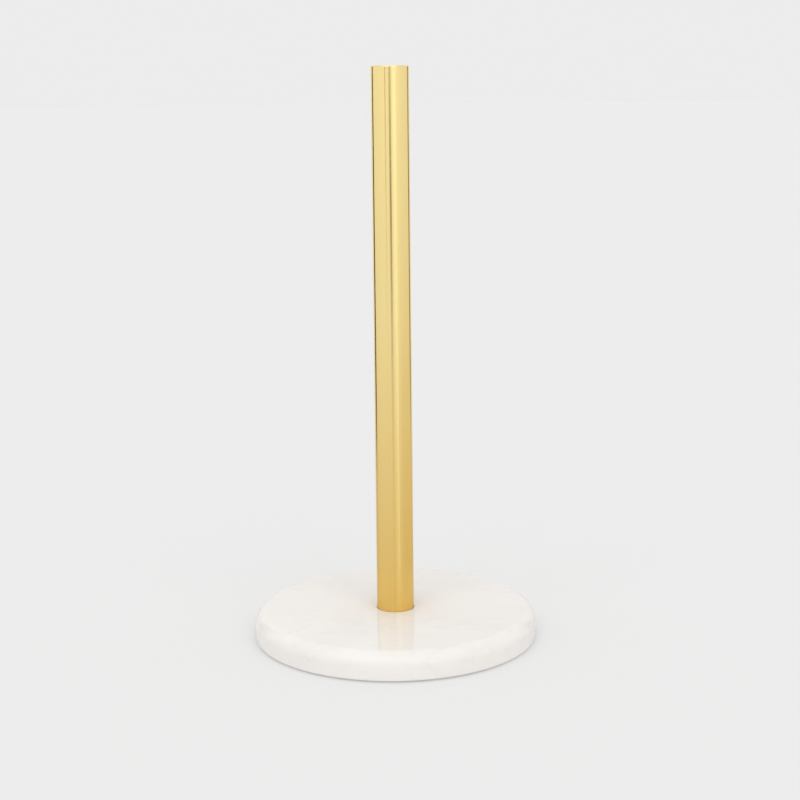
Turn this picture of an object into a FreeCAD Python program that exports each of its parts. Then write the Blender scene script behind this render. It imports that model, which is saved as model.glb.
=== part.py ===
"""Paper towel holder: a polished brass post bolted upright on a round marble base.

Millimetres, +Z up. The origin is the centre of the footprint, on the surface that the feet
stand on, and +Z is the post's axis. A roll of paper towels slides down over the post and
rests on the base. Nothing moves in use: one bolt, reached from below, clamps the post.
"""

import FreeCAD
import Part
import math
import os

# --- base -------------------------------------------------------------------------------
BASE_DIAMETER = 152.0
BASE_THICKNESS = 14.0
BASE_TOP_ROUND = 7.0        # soft edge round the top face
BASE_BOTTOM_ROUND = 0.5
POST_SEAT_DIAMETER = 20.4   # shallow recess that centres the post
POST_SEAT_DEPTH = 1.0
BOLT_HOLE_DIAMETER = 7.0
BOLT_RECESS_DIAMETER = 22.0  # counterbore in the underside for the bolt's head
BOLT_RECESS_DEPTH = 7.0
BOLT_RECESS_CORNER = 0.8

# --- feet -------------------------------------------------------------------------------
FOOT_DIAMETER = 18.0
FOOT_HEIGHT = 1.0
FOOT_ROUND = 0.3
FEET_CIRCLE_RADIUS = 56.0
FOOT_ANGLES = {
    "foot_front_right": -45.0,
    "foot_back_right": 45.0,
    "foot_back_left": 135.0,
    "foot_front_left": 225.0,
}

# --- post -------------------------------------------------------------------------------
TOTAL_HEIGHT = 306.0
TUBE_DIAMETER = 20.0
TUBE_WALL = 1.0
TUBE_TOP_ROUND = 0.6
TUBE_MOUTH_CHAMFER = 0.25   # with the cap's own chamfer it leaves a fine ring on the top
TUBE_END_CHAMFER = 0.4
CAP_THICKNESS = 3.0
CAP_CHAMFER = 0.25
PLUG_LENGTH = 18.0
PLUG_LEAD_CHAMFER = 1.0
PLUG_GROOVE_WIDTH = 2.0     # a relief groove halfway up the plug
PLUG_GROOVE_DEPTH = 0.5
PLUG_COUNTERSINK_DIAMETER = 6.6
SEAT_WASHER_DIAMETER = 19.2
SEAT_WASHER_THICKNESS = 0.5
SEAT_WASHER_HOLE = 6.8

# --- M6 bolt and its washers ------------------------------------------------------------
BOLT_LENGTH = 20.0          # under the head
BOLT_TIP_CHAMFER = 0.8
HEAD_DIAMETER = 10.5
HEAD_HEIGHT = 3.3
HEAD_FLAT_DIAMETER = 5.4
HEAD_EDGE_HEIGHT = 0.4
SOCKET_ACROSS_FLATS = 4.0
SOCKET_DEPTH = 2.1
FLAT_WASHER_DIAMETER = 18.0
FLAT_WASHER_HOLE = 6.4
FLAT_WASHER_THICKNESS = 1.6
FLAT_WASHER_ROUND = 0.25
SPRING_WASHER_DIAMETER = 11.1
SPRING_WASHER_HOLE = 6.2
SPRING_WASHER_THICKNESS = 1.6
SPRING_WASHER_GAP = 0.6     # width of the split
SPRING_WASHER_SLANT = 25.0  # degrees that the split leans

THREAD_PITCH = 1.0
THREAD_CREST_RADIUS = 2.95
THREAD_ROOT_RADIUS = 2.40
THREAD_CREST_FLAT = 0.125
THREAD_FLANK_ANGLE = 30.0   # degrees from the plane across the axis
THREAD_CLEARANCE = 0.06     # between bolt and plug, on every side
THREAD_EMBED = 0.08         # how far a ridge reaches into its core, so that the two fuse

# --- heights worked out from the above ----------------------------------------------------
BASE_BOTTOM = FOOT_HEIGHT
BASE_TOP = BASE_BOTTOM + BASE_THICKNESS
SEAT_FLOOR = BASE_TOP - POST_SEAT_DEPTH
TUBE_BOTTOM = SEAT_FLOOR + SEAT_WASHER_THICKNESS
TUBE_TOP = TOTAL_HEIGHT
RECESS_CEILING = BASE_BOTTOM + BOLT_RECESS_DEPTH
FLAT_WASHER_BOTTOM = RECESS_CEILING - FLAT_WASHER_THICKNESS
SPRING_WASHER_BOTTOM = FLAT_WASHER_BOTTOM - SPRING_WASHER_THICKNESS
HEAD_TOP = SPRING_WASHER_BOTTOM  # the head hangs below this, its bearing face upwards
HEAD_BOTTOM = HEAD_TOP - HEAD_HEIGHT
TUBE_BORE = TUBE_DIAMETER - 2 * TUBE_WALL

UP = FreeCAD.Vector(0, 0, 1)
TOLERANCE = 1e-6


def cylinder(diameter, bottom, top, x=0.0, y=0.0):
    """An upright cylinder between two heights."""
    return Part.makeCylinder(diameter / 2, top - bottom, FreeCAD.Vector(x, y, bottom), UP)


def rims(solid, diameter, height):
    """The circular edges of that diameter at that height."""
    found = []
    for edge in solid.Edges:
        curve = edge.Curve
        if not isinstance(curve, Part.Circle):
            continue
        same_size = abs(curve.Radius - diameter / 2) < TOLERANCE
        if same_size and abs(curve.Center.z - height) < TOLERANCE:
            found.append(edge)
    return found


def rounded(solid, diameter, height, radius):
    """The solid with that rim rounded off."""
    return solid.makeFillet(radius, rims(solid, diameter, height))


def chamfered(solid, diameter, height, size):
    """The solid with a 45 degree chamfer on that rim."""
    return solid.makeChamfer(size, rims(solid, diameter, height))


def turned(points):
    """A solid turned about Z. Points are (radius, height), or (radius, height, via) for an arc
    that reaches the point through the point via."""
    edges = []
    here = points[-1][:2]
    for point in points:
        there = point[:2]
        start, end = (FreeCAD.Vector(r, 0, z) for r, z in (here, there))
        if len(point) == 3:
            via = FreeCAD.Vector(point[2][0], 0, point[2][1])
            edges.append(Part.Arc(start, via, end).toShape())
        else:
            edges.append(Part.makeLine(start, end))
        here = there
    face = Part.Face(Part.Wire(edges))
    return face.revolve(FreeCAD.Vector(0, 0, 0), UP, 360)


def thread_ridge(bottom, top, clearance=0.0):
    """The helical ridge of the thread, grown by a clearance on its crest and flanks."""
    slope = math.tan(math.radians(THREAD_FLANK_ANGLE))
    inner = THREAD_ROOT_RADIUS - THREAD_EMBED
    outer = THREAD_CREST_RADIUS + clearance
    crest_half = THREAD_CREST_FLAT / 2 + clearance / 2
    root_half = crest_half + (outer - inner) * slope
    corners = [(inner, -root_half), (outer, -crest_half), (outer, crest_half), (inner, root_half)]
    section = Part.makePolygon([FreeCAD.Vector(r, 0, z) for r, z in corners + corners[:1]])
    path = Part.makeHelix(THREAD_PITCH, top - bottom, THREAD_ROOT_RADIUS)
    ridge = Part.Wire(path.Edges).makePipeShell([section], True, True)
    ridge.translate(FreeCAD.Vector(0, 0, bottom))
    return Part.Solid(ridge) if ridge.ShapeType != "Solid" else ridge


def make_base_disc():
    disc = cylinder(BASE_DIAMETER, BASE_BOTTOM, BASE_TOP)
    disc = rounded(disc, BASE_DIAMETER, BASE_TOP, BASE_TOP_ROUND)
    disc = rounded(disc, BASE_DIAMETER, BASE_BOTTOM, BASE_BOTTOM_ROUND)
    post_seat = cylinder(POST_SEAT_DIAMETER, SEAT_FLOOR, BASE_TOP)
    bolt_hole = cylinder(BOLT_HOLE_DIAMETER, RECESS_CEILING, SEAT_FLOOR)
    bolt_recess = cylinder(BOLT_RECESS_DIAMETER, BASE_BOTTOM, RECESS_CEILING)
    bolt_recess = rounded(bolt_recess, BOLT_RECESS_DIAMETER, RECESS_CEILING, BOLT_RECESS_CORNER)
    return disc.cut([post_seat, bolt_hole, bolt_recess])


def make_foot(angle):
    x = FEET_CIRCLE_RADIUS * math.cos(math.radians(angle))
    y = FEET_CIRCLE_RADIUS * math.sin(math.radians(angle))
    pad = cylinder(FOOT_DIAMETER, 0, FOOT_HEIGHT, x, y)
    return rounded(pad, FOOT_DIAMETER, 0, FOOT_ROUND)


def make_post_tube():
    outside = cylinder(TUBE_DIAMETER, TUBE_BOTTOM, TUBE_TOP)
    outside = rounded(outside, TUBE_DIAMETER, TUBE_TOP, TUBE_TOP_ROUND)
    outside = chamfered(outside, TUBE_DIAMETER, TUBE_BOTTOM, TUBE_END_CHAMFER)
    tube = outside.cut(cylinder(TUBE_BORE, TUBE_BOTTOM, TUBE_TOP))
    return chamfered(tube, TUBE_BORE, TUBE_TOP, TUBE_MOUTH_CHAMFER)


def make_top_cap():
    """The disc that closes the tube, flush with its rim."""
    cap = cylinder(TUBE_BORE, TUBE_TOP - CAP_THICKNESS, TUBE_TOP)
    cap = chamfered(cap, TUBE_BORE, TUBE_TOP, CAP_CHAMFER)
    return chamfered(cap, TUBE_BORE, TUBE_TOP - CAP_THICKNESS, CAP_CHAMFER)


def make_foot_plug():
    """The threaded plug pressed into the tube's lower end, which the bolt pulls down."""
    top = TUBE_BOTTOM + PLUG_LENGTH
    plug = cylinder(TUBE_BORE, TUBE_BOTTOM, top)
    plug = chamfered(plug, TUBE_BORE, top, PLUG_LEAD_CHAMFER)
    groove_bottom = (TUBE_BOTTOM + top - PLUG_GROOVE_WIDTH) / 2
    groove_top = groove_bottom + PLUG_GROOVE_WIDTH
    groove = cylinder(TUBE_DIAMETER, groove_bottom, groove_top)
    groove = groove.cut(cylinder(TUBE_BORE - 2 * PLUG_GROOVE_DEPTH, groove_bottom, groove_top))
    minor_radius = THREAD_ROOT_RADIUS + 2 * THREAD_CLEARANCE
    hole = cylinder(2 * minor_radius, TUBE_BOTTOM, top)
    mouth_radius = PLUG_COUNTERSINK_DIAMETER / 2
    mouth = FreeCAD.Vector(0, 0, TUBE_BOTTOM)
    countersink = Part.makeCone(mouth_radius, minor_radius, mouth_radius - minor_radius, mouth, UP)
    # whole turns from the bolt's head keep the two threads in step
    turns_below = math.floor((TUBE_BOTTOM - HEAD_TOP) / THREAD_PITCH) - 1
    start = HEAD_TOP + turns_below * THREAD_PITCH
    thread = thread_ridge(start, top + THREAD_PITCH, THREAD_CLEARANCE)
    return plug.cut([groove, hole, countersink]).cut(thread)


def make_bolt_head():
    """A button head: a short cylinder under a dome that is part of a sphere, cut off flat."""
    head_radius = HEAD_DIAMETER / 2
    flat_radius = HEAD_FLAT_DIAMETER / 2
    edge_height = HEAD_TOP - HEAD_EDGE_HEIGHT
    # the sphere is centred on the axis and passes through the dome's two rims
    rim_squares = head_radius ** 2 + edge_height ** 2 - flat_radius ** 2 - HEAD_BOTTOM ** 2
    centre_height = rim_squares / (2 * (edge_height - HEAD_BOTTOM))
    sphere_radius = math.hypot(head_radius, edge_height - centre_height)
    halfway_radius = (head_radius + flat_radius) / 2
    halfway_height = centre_height - math.sqrt(sphere_radius ** 2 - halfway_radius ** 2)
    return turned([
        (0, HEAD_TOP),
        (head_radius, HEAD_TOP),
        (head_radius, edge_height),
        (flat_radius, HEAD_BOTTOM, (halfway_radius, halfway_height)),
        (0, HEAD_BOTTOM),
    ])


def make_bolt_socket():
    """The space inside the hexagon socket, with the drill's cone at its end."""
    half_flats = SOCKET_ACROSS_FLATS / 2
    corner_radius = half_flats / math.cos(math.pi / 6)
    corners = []
    for i in range(7):
        turn = i * math.pi / 3
        x, y = corner_radius * math.cos(turn), corner_radius * math.sin(turn)
        corners.append(FreeCAD.Vector(x, y, HEAD_BOTTOM))
    hexagon = Part.Face(Part.makePolygon(corners)).extrude(UP * SOCKET_DEPTH)
    floor = FreeCAD.Vector(0, 0, HEAD_BOTTOM + SOCKET_DEPTH)
    drill_point = Part.makeCone(half_flats, 0, half_flats * math.tan(math.pi / 6), floor, UP)
    return hexagon.fuse(drill_point)


def make_clamp_bolt():
    """The bolt stands with its head down, and its socket opens downwards."""
    tip = HEAD_TOP + BOLT_LENGTH
    core = cylinder(2 * THREAD_ROOT_RADIUS, HEAD_TOP, tip)
    shank = core.fuse(thread_ridge(HEAD_TOP, tip))
    tip_radius = THREAD_CREST_RADIUS - BOLT_TIP_CHAMFER
    wide_radius = THREAD_CREST_RADIUS + BOLT_TIP_CHAMFER
    pointed_space = turned([
        (0, HEAD_TOP),
        (wide_radius, HEAD_TOP),
        (wide_radius, tip - (wide_radius - tip_radius)),
        (tip_radius, tip),
        (0, tip),
    ])
    shank = shank.common(pointed_space)
    return make_bolt_head().fuse(shank).cut(make_bolt_socket()).removeSplitter()


def make_flat_washer():
    bottom, top = FLAT_WASHER_BOTTOM, RECESS_CEILING
    washer = cylinder(FLAT_WASHER_DIAMETER, bottom, top)
    washer = rounded(washer, FLAT_WASHER_DIAMETER, bottom, FLAT_WASHER_ROUND)
    return washer.cut(cylinder(FLAT_WASHER_HOLE, bottom, top))


def make_spring_washer():
    """A split lock washer, pressed flat, with its slanting gap towards +X."""
    bottom, top = SPRING_WASHER_BOTTOM, FLAT_WASHER_BOTTOM
    ring = cylinder(SPRING_WASHER_DIAMETER, bottom, top)
    ring = ring.cut(cylinder(SPRING_WASHER_HOLE, bottom, top))
    gap = Part.makeBox(
        SPRING_WASHER_DIAMETER, SPRING_WASHER_GAP, 3 * SPRING_WASHER_THICKNESS,
        FreeCAD.Vector(0, -SPRING_WASHER_GAP / 2, bottom - SPRING_WASHER_THICKNESS),
    )
    middle = FreeCAD.Vector(0, 0, (bottom + top) / 2)
    gap.rotate(middle, FreeCAD.Vector(1, 0, 0), SPRING_WASHER_SLANT)
    return ring.cut(gap)


def make_seat_washer():
    """The thin soft washer that keeps the metal off the stone."""
    washer = cylinder(SEAT_WASHER_DIAMETER, SEAT_FLOOR, TUBE_BOTTOM)
    return washer.cut(cylinder(SEAT_WASHER_HOLE, SEAT_FLOOR, TUBE_BOTTOM))


def build():
    """Every sub-part, by node name."""
    nodes = {
        "base_disc": make_base_disc(),
        "post_tube": make_post_tube(),
        "top_cap": make_top_cap(),
        "foot_plug": make_foot_plug(),
        "seat_washer": make_seat_washer(),
        "clamp_bolt": make_clamp_bolt(),
        "flat_washer": make_flat_washer(),
        "spring_washer": make_spring_washer(),
    }
    for name, angle in FOOT_ANGLES.items():
        nodes[name] = make_foot(angle)
    return nodes


os.makedirs("parts", exist_ok=True)
for name, shape in build().items():
    shape.exportStep(f"parts/{name}.step")
    print(f"{name}: {len(shape.Solids)} solid, {shape.Volume:.1f} mm3, valid {shape.isValid()}")
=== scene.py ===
import math

import bpy
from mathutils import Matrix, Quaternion, Vector


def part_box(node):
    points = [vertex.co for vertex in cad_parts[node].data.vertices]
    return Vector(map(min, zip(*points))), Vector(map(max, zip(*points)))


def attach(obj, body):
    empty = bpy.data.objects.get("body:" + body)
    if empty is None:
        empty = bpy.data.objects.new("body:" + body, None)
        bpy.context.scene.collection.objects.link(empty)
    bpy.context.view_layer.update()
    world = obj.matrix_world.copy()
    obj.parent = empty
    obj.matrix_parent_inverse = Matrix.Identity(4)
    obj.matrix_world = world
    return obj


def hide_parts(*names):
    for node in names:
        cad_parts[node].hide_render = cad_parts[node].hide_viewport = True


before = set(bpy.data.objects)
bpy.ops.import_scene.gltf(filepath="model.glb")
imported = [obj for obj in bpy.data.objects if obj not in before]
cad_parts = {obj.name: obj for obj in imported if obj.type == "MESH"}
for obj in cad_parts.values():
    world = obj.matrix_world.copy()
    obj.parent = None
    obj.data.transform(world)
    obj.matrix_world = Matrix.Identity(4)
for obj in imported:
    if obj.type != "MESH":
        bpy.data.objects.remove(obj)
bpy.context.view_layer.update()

# --- sizes of the details that the replaced pieces repeat from the CAD model, in metres ----
MM = 0.001
BASE_TOP_ROUND = 7 * MM
BASE_BOTTOM_ROUND = 0.5 * MM
POST_SEAT_RADIUS = 10.2 * MM
POST_SEAT_DEPTH = 1 * MM
BOLT_HOLE_RADIUS = 3.5 * MM
BOLT_RECESS_RADIUS = 11 * MM
BOLT_RECESS_DEPTH = 7 * MM
BOLT_RECESS_CORNER = 0.8 * MM
EDGE_BREAK = 0.15 * MM       # the tiny round on every other cut edge
TUBE_WALL = 1 * MM
TUBE_TOP_ROUND = 0.6 * MM
TUBE_MOUTH_CHAMFER = 0.25 * MM
TUBE_END_CHAMFER = 0.4 * MM
CAP_CHAMFER = 0.25 * MM
FOOT_ROUND = 0.3 * MM

ROUND_SEGMENTS = 256         # around every turned piece
ARC_STEPS = 12               # along a quarter round
SHARP_ANGLE = math.radians(30)


# --- mesh helpers -----------------------------------------------------------------------
def arc(centre_r, centre_z, radius, start, end, steps=ARC_STEPS):
    """Profile points along an arc. Angles are in degrees, 0 outwards and 90 up."""
    points = []
    for i in range(steps + 1):
        angle = math.radians(start + (end - start) * i / steps)
        points.append((centre_r + radius * math.cos(angle), centre_z + radius * math.sin(angle)))
    return points


def turned(name, profile, centre=(0, 0), closed=True):
    """A mesh turned about an upright axis. The profile is a loop of (radius, height) points,
    anticlockwise as seen with the radius to the right, or an open line that starts and ends on
    the axis."""
    rings, vertices, faces, uvs = [], [], [], []
    length = [0.0]
    for a, b in zip(profile, profile[1:] + profile[:1]):
        length.append(length[-1] + math.dist(a, b))
    for r, z in profile:
        if r == 0:
            rings.append([len(vertices)])
            vertices.append((centre[0], centre[1], z))
            continue
        ring = []
        for i in range(ROUND_SEGMENTS):
            angle = 2 * math.pi * i / ROUND_SEGMENTS
            ring.append(len(vertices))
            vertices.append((centre[0] + r * math.cos(angle), centre[1] + r * math.sin(angle), z))
        rings.append(ring)
    spans = len(profile) if closed else len(profile) - 1
    for j in range(spans):
        low, high = rings[j], rings[(j + 1) % len(profile)]
        v0, v1 = length[j] / length[-1], length[j + 1] / length[-1]
        for i in range(ROUND_SEGMENTS):
            k = (i + 1) % ROUND_SEGMENTS
            u0, u1 = i / ROUND_SEGMENTS, (i + 1) / ROUND_SEGMENTS
            if len(low) == 1:
                faces.append((low[0], high[k], high[i]))
                uvs += [((u0 + u1) / 2, v0), (u1, v1), (u0, v1)]
            elif len(high) == 1:
                faces.append((low[i], low[k], high[0]))
                uvs += [(u0, v0), (u1, v0), ((u0 + u1) / 2, v1)]
            else:
                faces.append((low[i], low[k], high[k], high[i]))
                uvs += [(u0, v0), (u1, v0), (u1, v1), (u0, v1)]
    mesh = bpy.data.meshes.new(name)
    mesh.from_pydata(vertices, [], faces)
    layer = mesh.uv_layers.new(name="around")
    for loop, uv in zip(layer.data, uvs):
        loop.uv = uv
    mesh.polygons.foreach_set("use_smooth", [True] * len(mesh.polygons))
    mesh.set_sharp_from_angle(angle=SHARP_ANGLE)
    mesh.update()
    piece = bpy.data.objects.new(name, mesh)
    bpy.context.collection.objects.link(piece)
    return piece


def place(piece, material, slot, *nodes):
    """Gives a new piece its material and body, and hides the CAD nodes that it stands for. The slot
    is not used.
    """
    piece.data.materials.append(material)
    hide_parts(*nodes)
    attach(piece, "root")


# --- node helpers -----------------------------------------------------------------------
class Shader:
    """A node tree that is built up a node at a time."""

    def __init__(self, owner):
        owner.use_nodes = True
        self.tree = owner.node_tree
        self.tree.nodes.clear()

    def add(self, kind, settings=None, **inputs):
        node = self.tree.nodes.new(kind)
        for key, value in (settings or {}).items():
            setattr(node, key, value)
        for key, value in inputs.items():
            socket = self.find(node.inputs, key)
            if isinstance(value, bpy.types.NodeSocket):
                self.tree.links.new(value, socket)
            else:
                socket.default_value = value
        return node

    @staticmethod
    def find(sockets, key):
        """The socket by name, where an underscore stands for a space, or by i and its number."""
        if key[0] == "i" and key[1:].isdigit():
            return sockets[int(key[1:])]
        return sockets[key.replace("_", " ")]

    def math(self, operation, a, b=0.0):
        return self.add("ShaderNodeMath", {"operation": operation}, i0=a, i1=b).outputs[0]

    def smooth(self, value, low, high, to_low=0.0, to_high=1.0):
        """Goes smoothly from to_low at low to to_high at high."""
        node = self.add(
            "ShaderNodeMapRange", {"interpolation_type": "SMOOTHSTEP"},
            Value=value, From_Min=low, From_Max=high, To_Min=to_low, To_Max=to_high,
        )
        return node.outputs[0]

    def window(self, value, low, high, soft):
        """One between low and high and nothing outside them, with soft edges of that width."""
        rise = self.smooth(value, low - soft / 2, low + soft / 2)
        fall = self.smooth(value, high - soft / 2, high + soft / 2, 1.0, 0.0)
        return self.math("MULTIPLY", rise, fall)

    def blend(self, factor, a, b):
        """Goes from the number a to the number b."""
        return self.add("ShaderNodeMix", {"data_type": "FLOAT"}, i0=factor, i2=a, i3=b).outputs[0]

    def noise(self, point, scale, detail=2.0, roughness=0.5, distortion=0.0):
        node = self.add(
            "ShaderNodeTexNoise", None, Vector=point, Scale=scale, Detail=detail,
            Roughness=roughness, Distortion=distortion,
        )
        return node.outputs["Fac"]

    def mix(self, factor, a, b):
        """Goes from the colour a to the colour b."""
        return self.add("ShaderNodeMix", {"data_type": "RGBA"}, i0=factor, i6=a, i7=b).outputs[2]

    def point(self, scale=(1, 1, 1), turn=0):
        """The point on the object, in metres, stretched by scale and turned about Z."""
        coordinates = self.add("ShaderNodeTexCoord")
        mapping = self.add("ShaderNodeMapping", None, Vector=coordinates.outputs["Object"])
        mapping.inputs["Scale"].default_value = scale
        mapping.inputs["Rotation"].default_value = (0, 0, math.radians(turn))
        return mapping.outputs[0]

    def azimuth(self, direction=None):
        """Degrees to the right of the front, of a direction or else of the point on the object."""
        parts = self.add("ShaderNodeSeparateXYZ", None, Vector=direction or self.point())
        backwards = self.math("MULTIPLY", parts.outputs["Y"], -1.0)
        angle = self.math("ARCTAN2", parts.outputs["X"], backwards)
        return self.math("MULTIPLY", angle, math.degrees(1))

    def bump(self, height, distance, strength=1.0):
        node = self.add("ShaderNodeBump", None, Height=height, Distance=distance, Strength=strength)
        return node.outputs[0]

    def principled(self, **inputs):
        surface = self.add("ShaderNodeBsdfPrincipled", None, **inputs)
        self.show(surface)

    def show(self, surface, output="ShaderNodeOutputMaterial"):
        """Makes that node what the material or the world shows."""
        self.tree.links.new(surface.outputs[0], self.add(output).inputs[0])


def new_material(name):
    material = bpy.data.materials.new(name)
    return material, Shader(material)


# --- materials --------------------------------------------------------------------------
MARBLE_WHITE = (0.837, 0.811, 0.784, 1)
MARBLE_CLOUD = (0.808, 0.782, 0.754, 1)
VEIN_BEIGE = (0.60, 0.575, 0.535, 1)
VEIN_STRENGTH = 0.30                     # how far a vein hides the white stone
FLECK_GREY = (0.60, 0.58, 0.53, 1)
CRYSTAL_DARK = (0.60, 0.57, 0.54, 1)
CRYSTAL_LIGHT = (1.0, 0.97, 0.93, 1)
BRASS_FOOT_SHADE = (0.815, 0.540, 0.155, 1)    # painted shade: the darker gold where the post meets the marble
BRASS_TOP = (0.970, 0.775, 0.345, 1)
BRASS_MARK = (0.70, 0.48, 0.16, 1)       # in the marks of the polishing belt
BRASS_TURNED = (0.74, 0.53, 0.19, 1)     # in the rings on the cap
BRASS_EDGE = (0.95, 0.90, 0.80, 1)       # its tint where it is seen edge on
BRASS_SHADE_SPAN = 0.55                        # share of the post's height over which the painted shade fades out


def make_marble():
    """Polished white marble: broad soft clouds, faint grey-beige veins and a fine crystal grain."""
    material, s = new_material("polished_marble")
    clouds = s.noise(s.point((1, 1, 1.6)), 20.0, detail=4.0, roughness=0.55, distortion=0.8)
    cloud_tint = s.smooth(clouds, 0.36, 0.68)
    stone = s.mix(cloud_tint, MARBLE_WHITE, MARBLE_CLOUD)
    bed = s.point((0.55, 1.5, 1.0), turn=34)
    drift = s.noise(bed, 26.0, detail=6.0, roughness=0.55, distortion=1.6)
    seam = s.math("ABSOLUTE", s.math("SUBTRACT", drift, 0.5))
    hairline = s.smooth(seam, 0.0, 0.012, 0.45, 0.0)
    shadow_vein = s.smooth(seam, 0.0, 0.07, 0.30, 0.0)
    patch = s.smooth(s.noise(bed, 15.0, detail=2.0), 0.48, 0.66)
    veins = s.math("MULTIPLY", s.math("ADD", hairline, shadow_vein), patch)
    stone = s.mix(s.math("MULTIPLY", veins, VEIN_STRENGTH), stone, VEIN_BEIGE)
    fleck = s.smooth(s.noise(s.point(), 210.0, detail=3.0, roughness=0.6), 0.64, 0.74)
    stone = s.mix(s.math("MULTIPLY", fleck, 0.16), stone, FLECK_GREY)
    grain = s.noise(s.point(), 620.0, detail=2.0, roughness=0.6)
    crystal = s.mix(grain, CRYSTAL_DARK, CRYSTAL_LIGHT)
    stone = s.mix(0.10, stone, crystal)
    polish = s.smooth(s.noise(s.point(), 300.0, detail=3.0), 0.3, 0.7, 0.05, 0.085)
    ripple = s.bump(s.noise(s.point(), 90.0, detail=2.0), 0.02 * MM, 0.25)
    s.principled(
        Base_Color=stone, Roughness=polish, Normal=ripple, IOR=1.25,
        Subsurface_Weight=0.12, Subsurface_Radius=(1.0, 0.85, 0.65), Subsurface_Scale=3 * MM,
    )
    return material


def make_brass(low, high):
    """Polished lacquered brass, with painted shade: a deeper, darker gold towards the foot stands
    in for the darker reflections low on the post. The polishing belt ran round the tube, so its
    marks spread the reflections up and down."""
    material, s = new_material("polished_brass")
    height = s.add("ShaderNodeSeparateXYZ", None, Vector=s.point()).outputs["Z"]
    shade_end = low + BRASS_SHADE_SPAN * (high - low)
    # painted shade: the gold darkens from the post's top towards its foot
    rise = s.add("ShaderNodeMapRange", None, Value=height, From_Min=low, From_Max=shade_end)
    gold = s.mix(rise.outputs[0], BRASS_FOOT_SHADE, BRASS_TOP)
    belt = s.noise(s.point((60, 60, 2600)), 1.0, detail=3.0, roughness=0.6)
    gold = s.mix(s.math("MULTIPLY", belt, 0.05), gold, BRASS_MARK)
    bloom = s.noise(s.point((1, 1, 0.3)), 60.0, detail=3.0)
    haze = s.smooth(bloom, 0.3, 0.7, 0.170, 0.190)
    tangent = s.add("ShaderNodeTangent", {"direction_type": "RADIAL", "axis": "Z"}).outputs[0]
    wave = s.bump(s.noise(s.point((1, 1, 0.12)), 70.0, detail=1.0), 0.02 * MM, 0.3)
    s.principled(
        Base_Color=gold, Metallic=1.0, Roughness=haze, Anisotropic=0.9, Anisotropic_Rotation=0.25,
        Specular_Tint=BRASS_EDGE, Tangent=tangent, Normal=wave,
    )
    return material


def make_brass_face():
    """The cap's faced top: fine rings left by the lathe, polished over."""
    material, s = new_material("faced_brass")
    parts = s.add("ShaderNodeSeparateXYZ", None, Vector=s.point())
    x, y = parts.outputs["X"], parts.outputs["Y"]
    squares = s.math("ADD", s.math("MULTIPLY", x, x), s.math("MULTIPLY", y, y))
    radius = s.math("SQRT", squares)
    across = s.add("ShaderNodeCombineXYZ", None, X=radius).outputs[0]
    rings = s.noise(across, 5200.0, detail=3.0, roughness=0.7)
    gold = s.mix(s.math("MULTIPLY", rings, 0.12), BRASS_TOP, BRASS_TURNED)
    haze = s.smooth(rings, 0.3, 0.7, 0.28, 0.40)
    s.principled(
        Base_Color=gold, Metallic=1.0, Roughness=haze, Normal=s.bump(rings, 0.004 * MM, 0.4),
    )
    return material


def make_zinc():
    """Bright zinc plating, slightly cloudy and blue."""
    material, s = new_material("zinc_plate")
    cloud = s.noise(s.point(), 420.0, detail=4.0, roughness=0.65)
    colour = s.mix(cloud, (0.56, 0.58, 0.61, 1), (0.78, 0.79, 0.79, 1))
    haze = s.smooth(cloud, 0.3, 0.7, 0.24, 0.38)
    grain = s.bump(s.noise(s.point(), 2600.0, detail=2.0), 0.01 * MM, 0.3)
    s.principled(Base_Color=colour, Metallic=1.0, Roughness=haze, Normal=grain)
    return material


def make_nylon():
    """Natural nylon, slightly translucent."""
    material, s = new_material("natural_nylon")
    cloud = s.noise(s.point(), 500.0, detail=3.0)
    colour = s.mix(cloud, (0.66, 0.64, 0.58, 1), (0.74, 0.72, 0.66, 1))
    haze = s.smooth(cloud, 0.3, 0.7, 0.38, 0.5)
    s.principled(Base_Color=colour, Roughness=haze, Normal=s.bump(cloud, 0.01 * MM, 0.3))
    return material


def make_rubber():
    """Moulded charcoal rubber with a fine matte grain and a little dust."""
    material, s = new_material("foot_rubber")
    grain = s.noise(s.point(), 2200.0, detail=3.0, roughness=0.7)
    dust = s.smooth(s.noise(s.point(), 260.0, detail=4.0), 0.5, 0.8)
    colour = s.mix(grain, (0.030, 0.030, 0.032, 1), (0.055, 0.055, 0.058, 1))
    colour = s.mix(s.math("MULTIPLY", dust, 0.3), colour, (0.16, 0.155, 0.15, 1))
    haze = s.smooth(grain, 0.3, 0.7, 0.62, 0.8)
    s.principled(Base_Color=colour, Roughness=haze, Normal=s.bump(grain, 0.03 * MM, 0.5))
    return material


# --- pieces -----------------------------------------------------------------------------
def marble_base(material):
    """The disc, its soft top edge, the seat for the post and the bolt's counterbore."""
    low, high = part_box("base_disc")
    radius, bottom, top = high.x, low.z, high.z
    ceiling = bottom + BOLT_RECESS_DEPTH
    seat_floor = top - POST_SEAT_DEPTH
    inner = BOLT_RECESS_RADIUS - BOLT_RECESS_CORNER
    mouth = BOLT_RECESS_RADIUS + EDGE_BREAK
    profile = [
        *arc(radius - BASE_BOTTOM_ROUND, bottom + BASE_BOTTOM_ROUND, BASE_BOTTOM_ROUND, -90, 0),
        *arc(radius - BASE_TOP_ROUND, top - BASE_TOP_ROUND, BASE_TOP_ROUND, 0, 90, steps=24),
        *arc(POST_SEAT_RADIUS + EDGE_BREAK, top - EDGE_BREAK, EDGE_BREAK, 90, 180, steps=5),
        (POST_SEAT_RADIUS, seat_floor),
        (BOLT_HOLE_RADIUS, seat_floor),
        (BOLT_HOLE_RADIUS, ceiling),
        *arc(inner, ceiling - BOLT_RECESS_CORNER, BOLT_RECESS_CORNER, 90, 0, steps=6),
        *arc(mouth, bottom + EDGE_BREAK, EDGE_BREAK, 180, 270, steps=5),
    ]
    place(turned("marble_base", profile), material, "marble", "base_disc")


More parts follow.
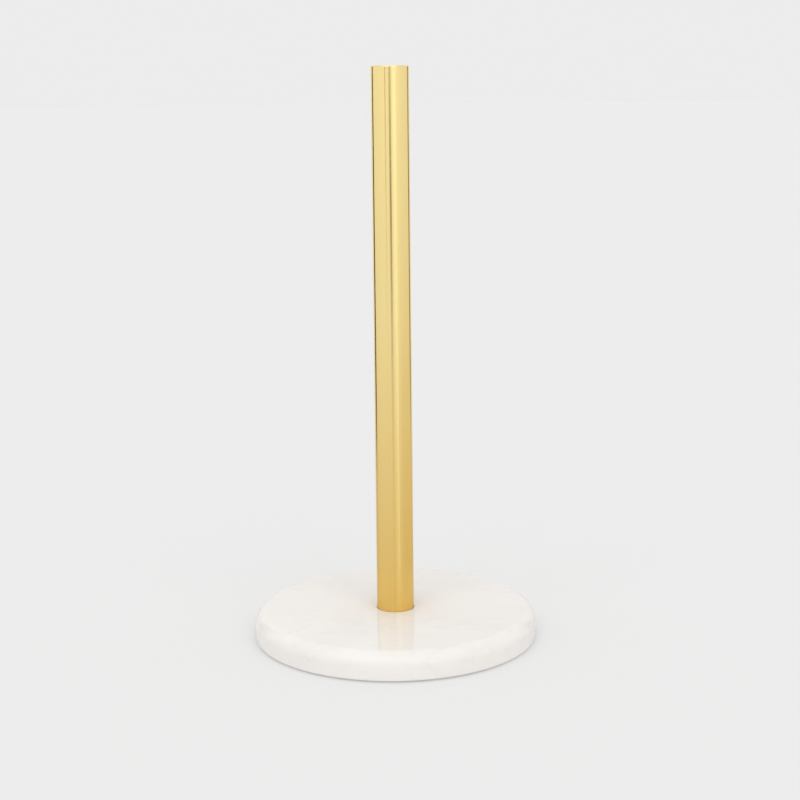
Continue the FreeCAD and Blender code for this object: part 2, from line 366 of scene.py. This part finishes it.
def brass_post(material):
    """The tube, with its rounded top rim and chamfered lower end."""
    low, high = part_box("post_tube")
    radius, bottom, top = high.x, low.z, high.z
    bore = radius - TUBE_WALL
    round_centre = radius - TUBE_TOP_ROUND
    profile = [
        (radius - TUBE_END_CHAMFER, bottom),
        (radius, bottom + TUBE_END_CHAMFER),
        *arc(round_centre, top - TUBE_TOP_ROUND, TUBE_TOP_ROUND, 0, 90, steps=10),
        (bore + TUBE_MOUTH_CHAMFER, top),
        (bore, top - TUBE_MOUTH_CHAMFER),
        (bore, bottom),
    ]
    place(turned("brass_post", profile), material, "brass", "post_tube")


def brass_cap(material):
    """The flush disc in the tube's mouth."""
    low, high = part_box("top_cap")
    radius, bottom, top = high.x, low.z, high.z
    profile = [
        (0, bottom),
        (radius - CAP_CHAMFER, bottom),
        (radius, bottom + CAP_CHAMFER),
        (radius, top - CAP_CHAMFER),
        (radius - CAP_CHAMFER, top),
        (0, top),
    ]
    place(turned("brass_cap", profile, closed=False), material, "brass", "top_cap")


def rubber_foot(node, material):
    """A foot with a rounded lower edge, in the place of the CAD node of that name."""
    low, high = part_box(node)
    centre = ((low.x + high.x) / 2, (low.y + high.y) / 2)
    radius = (high.x - low.x) / 2
    profile = [
        (0, low.z),
        *arc(radius - FOOT_ROUND, low.z + FOOT_ROUND, FOOT_ROUND, -90, 0, steps=8),
        (radius, high.z),
        (0, high.z),
    ]
    place(turned("rubber_" + node, profile, centre, closed=False), material, "foot_rubber", node)


def dress(node, material):
    """Gives a CAD node that stays its material."""
    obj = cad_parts[node]
    obj.data.materials.clear()
    obj.data.materials.append(material)


def make_object():
    post_low, post_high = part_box("post_tube")
    marble_base(make_marble())
    brass_post(make_brass(post_low.z, post_high.z))
    brass_cap(make_brass_face())
    rubber = make_rubber()
    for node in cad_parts:
        if node.startswith("foot_") and node != "foot_plug":
            rubber_foot(node, rubber)
    zinc = make_zinc()
    for node in ("foot_plug", "clamp_bolt", "flat_washer", "spring_washer"):
        dress(node, zinc)
    dress("seat_washer", make_nylon())


# --- studio -----------------------------------------------------------------------------
FLOOR_RADIUS = 30.0          # metres
BACKDROP = 0.8388            # linear grey of the seamless floor and backdrop
FLOOR_ALBEDO = 0.782         # share of the light that the floor sends back
FLOOR_GLOW = 0.28            # share of the floor's brightness that is its own, as on a lit table


def grey(brightness, tint=(1, 1, 1)):
    """The colour of that brightness, tinted if asked."""
    return tuple(brightness * part for part in tint) + (1,)


def make_floor():
    """A plain pale floor, lit from above and a little from within, that is clear from below."""
    piece = turned("studio_floor", [(FLOOR_RADIUS, 0), (0, 0)], closed=False)
    material, s = new_material("studio_floor")
    paper = s.add("ShaderNodeBsdfDiffuse", None, Color=grey(FLOOR_ALBEDO))
    glow = s.add("ShaderNodeEmission", None, Color=grey(BACKDROP))
    lit = s.add("ShaderNodeMixShader", None, i0=FLOOR_GLOW, i1=paper.outputs[0], i2=glow.outputs[0])
    clear = s.add("ShaderNodeBsdfTransparent")
    side = s.add("ShaderNodeNewGeometry").outputs["Backfacing"]
    s.show(s.add("ShaderNodeMixShader", None, i0=side, i1=lit.outputs[0], i2=clear.outputs[0]))
    piece.data.materials.append(material)


def facing(azimuth, elevation):
    """The direction that lies so many degrees to the right of the front and up."""
    right, up = math.radians(azimuth), math.radians(elevation)
    return Vector((math.sin(right) * math.cos(up), -math.cos(right) * math.cos(up), math.sin(up)))


def sheet_in_reflections(name, corners, material):
    """A flat four-cornered piece of the studio that only glossy rays meet."""
    mesh = bpy.data.meshes.new(name)
    mesh.from_pydata([tuple(corner) for corner in corners], [], [(0, 1, 2, 3)])
    mesh.materials.append(material)
    piece = bpy.data.objects.new(name, mesh)
    bpy.context.collection.objects.link(piece)
    for kind in ("camera", "diffuse", "transmission", "volume_scatter", "shadow"):
        setattr(piece, "visible_" + kind, False)


# what the cards glow with: the floor's own grey, and lighter, warmer and darker than it
FLOOR_GREY = grey(BACKDROP)
FLOOR_LIGHT = grey(1.20 * BACKDROP)
FLOOR_WARM = grey(BACKDROP, (0.95, 0.90, 0.78))
FLOOR_SHADED = grey(0.84 * BACKDROP)
FLOOR_SHADED_WARM = grey(0.84 * BACKDROP, (1.0, 0.97, 0.92))

# cards that lie on the floor round the post, as (name, left edge, where it has reached its
# second colour, right edge, all in degrees to the right of the front, and the two colours)
CARDS = [
    ("left_edge_card", -142, -100, -100, FLOOR_SHADED, FLOOR_GREY),
    ("light_card", 4, 33, 33, FLOOR_GREY, FLOOR_LIGHT),
    ("warm_card", 38, 62, 118, FLOOR_GREY, FLOOR_WARM),
    ("right_edge_card", 118, 142, 142, FLOOR_WARM, FLOOR_SHADED_WARM),
]
CARD_REACH = (0.09, 3.0)     # how far from the post's axis the cards start and end, in metres
CARD_LIFT = 0.2 * MM         # above the floor


def make_card(name, left, settled, right, first, second):
    """A card lying on the floor, in two sheets. The light one carries the bright stripe down the
    post, the warm one the deeper gold to the right of it, and the edge cards the shade along the
    post's outlines."""
    material, s = new_material(name)
    colour = s.mix(s.smooth(s.azimuth(), left, settled), first, second)
    s.show(s.add("ShaderNodeEmission", None, Color=colour))
    near, far = CARD_REACH
    lift = Vector((0, 0, CARD_LIFT))
    rays = [facing(angle, 0) for angle in (left, (left + right) / 2, right)]
    for i, (a, b) in enumerate(zip(rays, rays[1:])):
        corners = [a * near + lift, a * far + lift, b * far + lift, b * near + lift]
        sheet_in_reflections(f"{name}_{i}", corners, material)


# dark flags that stand on the floor, too low for the post's cap to reflect much of them, as
# (name, left edge, right edge and softness in degrees, distance from the post's axis and height
# in metres, colour)
FLAGS = [
    ("front_gap", -9, 3, 4, 2.20, 0.48, (0.05, 0.02, 0.0, 1)),
    ("left_flag", -138, -123, 0.5, 0.50, 0.36, (0.03, 0.02, 0.005, 1)),
    ("right_flag", 126, 139, 0.5, 0.70, 0.38, (0.20, 0.15, 0.08, 1)),
]
FLAG_SURROUND = grey(0.95)   # what a soft edge fades into


def make_flag(name, left, right, soft, distance, height, colour):
    """An upright dark flag. Its reflection draws a fine line down the post."""
    material, s = new_material(name)
    across = s.window(s.azimuth(), left, right, soft)
    s.show(s.add("ShaderNodeEmission", None, Color=s.mix(across, FLAG_SURROUND, colour)))
    start, end = facing(left - soft / 2, 0) * distance, facing(right + soft / 2, 0) * distance
    rise = Vector((0, 0, height))
    sheet_in_reflections(name, [start, end, end + rise, start + rise], material)


# brightness of the tent's walls all round, as (degrees to the right of the front, brightness);
# the bright stretch draws the stripe near the post's top, which the light card carries on down
WALLS = [
    (-180, 0.87), (-120, 0.93), (-75, 0.97), (-50, 0.99), (-34, 1.00), (-16, 0.96), (0, 0.95),
    (10, 1.02), (20, 1.28), (28, 1.22), (38, 1.00), (75, 0.93), (120, 0.87), (180, 0.87),
]
TENT_TOP = 0.885             # brightness overhead
WALL_TOP = (0.35, 0.70)      # heights on the unit sphere between which the walls turn into it

# soft lamps on the tent, as (degrees to the right of the front, degrees up)
LAMPS = [(-30, 47), (28, 47)]
LAMP_INNER = 8               # degrees from a lamp's middle to where it starts to fade
LAMP_OUTER = 26              # degrees to where it has faded out
LAMP_GAIN = 1.2              # what a lamp adds to the tent's brightness

# a dark gap in the walls, which draws the faint second line down the post
GAP_EDGES = (-34, -29)       # degrees to the right of the front
GAP_SOFTNESS = 2             # degrees
GAP_HEIGHTS = (0.05, 0.60)   # on the unit sphere, where it starts and ends
GAP_FADE = 0.06              # how softly it starts and ends in height
GAP_COLOUR = (0.28, 0.17, 0.0, 1)

HORIZON_FADE = 0.02          # height on the unit sphere over which the floor's grey ends


def make_tent():
    """A soft white tent as the world: pale walls with one narrow dark gap, and two soft lamps
    above the front that cast the shadows. The camera itself sees the plain backdrop."""
    world = bpy.data.worlds.new("studio")
    bpy.context.scene.world = world
    s = Shader(world)
    direction = s.add("ShaderNodeTexCoord").outputs["Generated"]
    z = s.add("ShaderNodeSeparateXYZ", None, Vector=direction).outputs["Z"]
    azimuth = s.azimuth(direction)
    turn = s.math("DIVIDE", s.math("ADD", azimuth, 180), 360)
    ramp = s.add("ShaderNodeValToRGB", None, Fac=turn)
    stops = ramp.color_ramp.elements
    while len(stops) < len(WALLS):
        stops.new(1.0)
    brightest = max(value for _, value in WALLS)
    for stop, (angle, value) in zip(stops, WALLS):
        stop.position = (angle + 180) / 360
        stop.color = grey(value / brightest)
    walls = s.math("MULTIPLY", ramp.outputs[0], brightest)
    tent = s.blend(s.smooth(z, *WALL_TOP), walls, TENT_TOP)
    edge, middle = math.cos(math.radians(LAMP_OUTER)), math.cos(math.radians(LAMP_INNER))
    for lamp in LAMPS:
        towards = s.add(
            "ShaderNodeVectorMath", {"operation": "DOT_PRODUCT"}, i0=direction, i1=facing(*lamp),
        )
        tent = s.math("ADD", tent, s.smooth(towards.outputs["Value"], edge, middle, 0.0, LAMP_GAIN))
    across = s.window(azimuth, *GAP_EDGES, GAP_SOFTNESS)
    upright = s.window(z, *GAP_HEIGHTS, GAP_FADE)
    tent = s.mix(s.math("MULTIPLY", across, upright), tent, GAP_COLOUR)
    backdrop = grey(BACKDROP)
    tent = s.mix(s.smooth(z, -HORIZON_FADE, 0.0), backdrop, tent)
    shown = s.mix(s.add("ShaderNodeLightPath").outputs["Is Camera Ray"], tent, backdrop)
    s.show(s.add("ShaderNodeBackground", None, Color=shown), "ShaderNodeOutputWorld")


# --- camera -----------------------------------------------------------------------------
CAMERA_DISTANCE = 0.8484     # metres in front of the post's axis
CAMERA_HEIGHT = 0.2946       # metres above the floor
CAMERA_LENS = 72.63          # mm on a 36 mm sensor
CAMERA_DOWN = 8.19           # degrees
CAMERA_RIGHT = 0.27          # degrees
CAMERA_ROLL = -0.57          # degrees
CAMERA_SHIFT = -0.10         # keeps the post's sides nearly parallel


def make_camera():
    """A long lens in front of the post, nearly as high as its top and looking slightly down."""
    data = bpy.data.cameras.new("camera")
    data.lens = CAMERA_LENS
    data.shift_y = CAMERA_SHIFT
    data.dof.use_dof = False
    camera = bpy.data.objects.new("camera", data)
    bpy.context.collection.objects.link(camera)
    camera.location = (0, -CAMERA_DISTANCE, CAMERA_HEIGHT)
    level = facing(180 - CAMERA_RIGHT, -CAMERA_DOWN).to_track_quat("-Z", "Y")
    camera.rotation_mode = "QUATERNION"
    camera.rotation_quaternion = level @ Quaternion((0, 0, 1), math.radians(CAMERA_ROLL))
    bpy.context.scene.camera = camera


make_object()
make_floor()
for card in CARDS:
    make_card(*card)
for flag in FLAGS:
    make_flag(*flag)
make_tent()
make_camera()
bpy.context.scene.view_settings.view_transform = "Standard"
